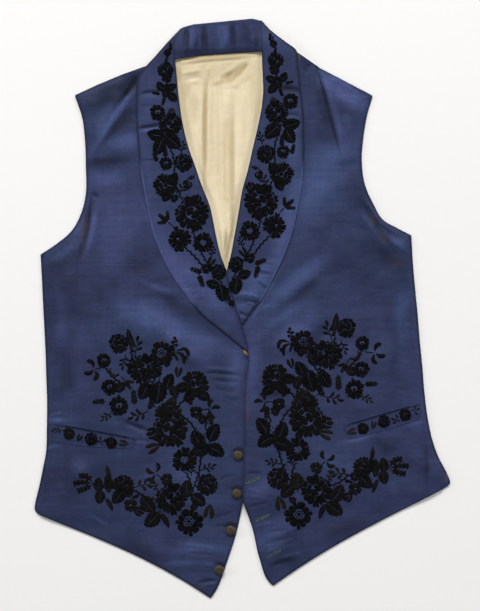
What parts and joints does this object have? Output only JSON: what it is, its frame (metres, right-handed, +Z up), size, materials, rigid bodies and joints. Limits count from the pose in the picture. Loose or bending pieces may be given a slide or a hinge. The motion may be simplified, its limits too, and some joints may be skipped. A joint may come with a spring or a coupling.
{
  "type": "embroidered silk waistcoat with a shawl collar, laid flat",
  "caption": "Man's navy silk waistcoat with black floral velvet motifs, a shawl collar, slanted pocket welts and covered buttons, laid flat.",
  "frame": {"origin": "on the table under the middle of the laid-out waistcoat", "axes": "+Z up from the table, +Y from the hem towards the neck, +X towards the wearer's left front"},
  "size_m": [0.4988, 0.6928, 0.0114],
  "materials": {
    "navy_silk": "fine ribbed silk with a soft sheen",
    "navy_band": "plain silk with a soft sheen",
    "cream_cotton": "plain matte cotton",
    "tan_cotton": "plain glazed cotton",
    "button_cloth": "woven cloth over a button mould",
    "velvet_pile": "black cut pile",
    "sewing_thread": "silk twist"
  },
  "bodies": {
    "root": {"back_panel": "tan_cotton", "back_lining": "cream_cotton", "front_right": "navy_silk", "front_left": "navy_silk", "collar_right": "navy_silk", "collar_left": "navy_silk", "collar_back": "navy_band", "welt_right": "navy_silk", "welt_left": "navy_silk", "button_1": "button_cloth", "button_2": "button_cloth", "button_3": "button_cloth", "button_4": "button_cloth"}
  },
  "joints": []
}
